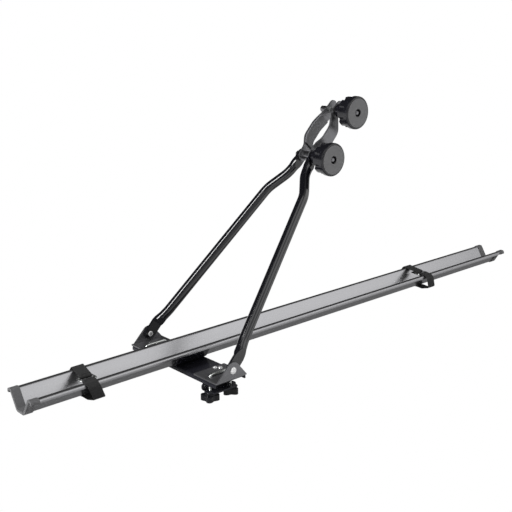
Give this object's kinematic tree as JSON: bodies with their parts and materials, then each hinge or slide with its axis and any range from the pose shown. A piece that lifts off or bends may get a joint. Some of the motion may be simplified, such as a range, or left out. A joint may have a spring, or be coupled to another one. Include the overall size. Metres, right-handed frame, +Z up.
{
  "type": "roof bike carrier",
  "caption": "Roof bike carrier: a steel wheel rail on a clamped base, with a folding two-tube arm, frame clamp jaws, clamp knobs and wheel straps.",
  "frame": {"origin": "centre of the base plate's underside, where it sits on the roof bar", "axes": "+X along the wheel rail towards its long end, -Y towards the knobs' side, +Z up"},
  "size_m": [1.406, 0.276, 0.5343],
  "materials": {
    "rail_steel": "satin",
    "black_steel": "gloss",
    "tube_steel": "gloss",
    "zinc_steel": "satin",
    "cap_plastic": "satin",
    "knob_plastic": "gloss",
    "cover_plastic": "satin",
    "lining_rubber": "matte",
    "webbing": "matte"
  },
  "bodies": {
    "rail_and_base": {"wheel_rail": "rail_steel", "left_end_cap": "cap_plastic", "right_end_cap": "cap_plastic", "rail_saddle": "black_steel", "rail_bolts": "zinc_steel", "base_plate": "black_steel", "near_foot_bracket": "black_steel", "far_foot_bracket": "black_steel", "near_pivot_rivet": "zinc_steel", "far_pivot_rivet": "zinc_steel", "near_leg_rivets": "zinc_steel", "far_leg_rivets": "zinc_steel", "near_u_bolt": "zinc_steel", "far_u_bolt": "zinc_steel", "left_strap": "webbing", "right_strap": "webbing", "left_strap_ring": "zinc_steel", "right_strap_ring": "zinc_steel"},
    "arm": {"near_arm_tube": "tube_steel", "far_arm_tube": "tube_steel", "lower_clamp_bolt": "zinc_steel", "lower_bolt_bush": "zinc_steel"},
    "clamp_head": {"far_jaw": "black_steel", "far_jaw_lining": "lining_rubber", "jaw_spacer": "zinc_steel", "upper_clamp_bolt": "zinc_steel", "upper_jaw_nut": "zinc_steel", "upper_bolt_bush": "zinc_steel"},
    "near_jaw": {"near_jaw": "black_steel", "near_jaw_lining": "lining_rubber"},
    "upper_washer": {"upper_knob_washer": "zinc_steel"},
    "upper_knob": {"upper_clamp_knob": "knob_plastic", "upper_knob_nut": "zinc_steel", "upper_knob_cover": "cover_plastic"},
    "lower_washer": {"lower_knob_washer": "zinc_steel"},
    "lower_knob": {"lower_clamp_knob": "knob_plastic", "lower_knob_nut": "zinc_steel", "lower_knob_cover": "cover_plastic"},
    "near_bridge": {"near_clamp_bridge": "black_steel", "near_clamp_washers": "zinc_steel"},
    "near_left_wing": {"near_left_wing_knob": "knob_plastic", "near_left_wing_nut": "zinc_steel"},
    "near_right_wing": {"near_right_wing_knob": "knob_plastic", "near_right_wing_nut": "zinc_steel"},
    "far_bridge": {"far_clamp_bridge": "black_steel", "far_clamp_washers": "zinc_steel"},
    "far_left_wing": {"far_left_wing_knob": "knob_plastic", "far_left_wing_nut": "zinc_steel"},
    "far_right_wing": {"far_right_wing_knob": "knob_plastic", "far_right_wing_nut": "zinc_steel"}
  },
  "joints": [
    {"name": "arm_fold", "type": "hinge", "parent": "rail_and_base", "child": "arm", "pos_m": [0.0045, 0, 0.0205], "axis": [0, -1, 0], "range_deg": [-38, 85]},
    {"name": "head_tilt", "type": "hinge", "parent": "arm", "child": "clamp_head", "pos_m": [0.33186, 0, 0.37155], "axis": [0, 1, 0], "range_deg": [-40, 60]},
    {"name": "jaw_opening", "type": "hinge", "parent": "clamp_head", "child": "near_jaw", "pos_m": [0.33186, -0.0134, 0.37155], "axis": [0.7314, 0, -0.682], "range_deg": [0, 3.8]},
    {"name": "upper_knob_travel", "type": "slide", "parent": "clamp_head", "child": "upper_washer", "axis": [0, -1, 0], "range_m": [0, 0.00856]},
    {"name": "upper_knob_turn", "type": "hinge", "parent": "upper_washer", "child": "upper_knob", "pos_m": [0.4137, 0, 0.45931], "axis": [0, -1, 0], "range_deg": [0, 2464.01]},
    {"name": "lower_knob_turn", "type": "hinge", "parent": "lower_washer", "child": "lower_knob", "pos_m": [0.33186, 0, 0.37155], "axis": [0, -1, 0], "range_deg": [0, 1152]},
    {"name": "lower_knob_travel", "type": "slide", "parent": "arm", "child": "lower_washer", "axis": [0, -1, 0], "range_m": [0, 0.004]},
    {"name": "near_clamp_travel", "type": "slide", "parent": "rail_and_base", "child": "near_bridge", "axis": [0, 0, -1], "range_m": [0, 0.009]},
    {"name": "near_left_wing_turn", "type": "hinge", "parent": "near_bridge", "child": "near_left_wing", "pos_m": [-0.025, -0.102, -0.039], "axis": [0, 0, -1], "range_deg": [0, 3240]},
    {"name": "near_right_wing_turn", "type": "hinge", "parent": "near_bridge", "child": "near_right_wing", "pos_m": [0.025, -0.102, -0.039], "axis": [0, 0, -1], "range_deg": [0, 3240]},
    {"name": "far_clamp_travel", "type": "slide", "parent": "rail_and_base", "child": "far_bridge", "axis": [0, 0, -1], "range_m": [0, 0.009]},
    {"name": "far_left_wing_turn", "type": "hinge", "parent": "far_bridge", "child": "far_left_wing", "pos_m": [-0.025, 0.102, -0.039], "axis": [0, 0, -1], "range_deg": [0, 3240]},
    {"name": "far_right_wing_turn", "type": "hinge", "parent": "far_bridge", "child": "far_right_wing", "pos_m": [0.025, 0.102, -0.039], "axis": [0, 0, -1], "range_deg": [0, 3240]}
  ],
  "couplings": [
    {"joint": "upper_knob_travel", "follows": "jaw_opening", "m_per_rad": 0.129},
    {"joint": "upper_knob_turn", "follows": "jaw_opening", "ratio": 648.42},
    {"joint": "lower_knob_travel", "follows": "lower_knob_turn", "m_per_rad": 0.00019894},
    {"joint": "near_left_wing_turn", "follows": "near_clamp_travel", "rad_per_m": 6283.2},
    {"joint": "near_right_wing_turn", "follows": "near_clamp_travel", "rad_per_m": 6283.2},
    {"joint": "far_left_wing_turn", "follows": "far_clamp_travel", "rad_per_m": 6283.2},
    {"joint": "far_right_wing_turn", "follows": "far_clamp_travel", "rad_per_m": 6283.2}
  ]
}
